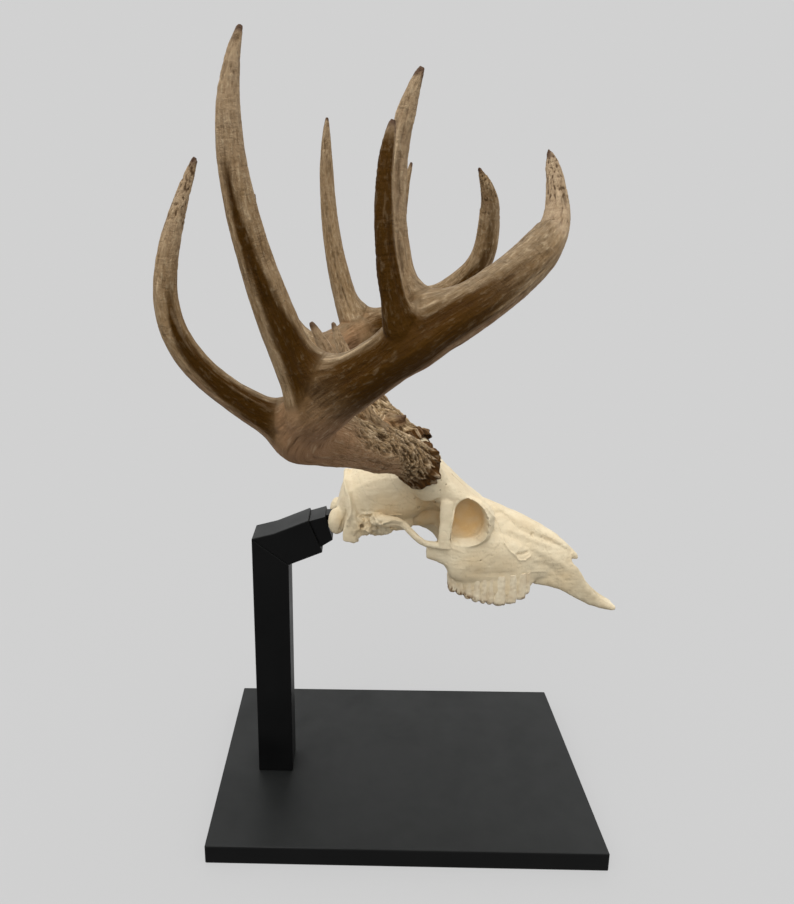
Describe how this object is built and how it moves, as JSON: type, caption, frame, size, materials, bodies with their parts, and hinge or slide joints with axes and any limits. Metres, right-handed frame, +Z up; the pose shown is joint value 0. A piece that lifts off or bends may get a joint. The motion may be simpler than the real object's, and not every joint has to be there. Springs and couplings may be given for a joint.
{
  "type": "mounted deer skull",
  "caption": "Whitetail buck skull with both antlers and no lower jaw, held level on a black post and slanted arm that rise from a flat board.",
  "frame": {"origin": "centre of the underside of the base board", "axes": "+X towards the skull's nose, +Y towards the skull's left antler, +Z up"},
  "size_m": [0.3966, 0.4833, 0.6987],
  "materials": {
    "bone": "dry bone, matt to satin, cream with tan hollows",
    "antler": "dry antler, matt, ridged and pearled, red-brown with pale ridges and tips",
    "stand": "matt black paint"
  },
  "bodies": {
    "root": {"stand_base": "stand", "stand_post": "stand", "stand_arm": "stand", "stand_plug": "stand", "skull_occiput": "bone", "skull_braincase": "bone", "skull_frontal": "bone", "skull_nasal": "bone", "skull_face": "bone", "skull_premaxilla": "bone", "skull_arch_right": "bone", "skull_arch_left": "bone", "antler_right_beam_base": "antler", "antler_right_beam_middle": "antler", "antler_right_beam_tip": "antler", "antler_right_brow_tine": "antler", "antler_right_second_tine": "antler", "antler_right_third_tine": "antler", "antler_right_fourth_tine": "antler", "antler_right_extra_tine": "antler", "antler_left_beam_base": "antler", "antler_left_beam_middle": "antler", "antler_left_beam_tip": "antler", "antler_left_brow_tine": "antler", "antler_left_second_tine": "antler", "antler_left_third_tine": "antler", "antler_left_fourth_tine": "antler"}
  },
  "joints": []
}
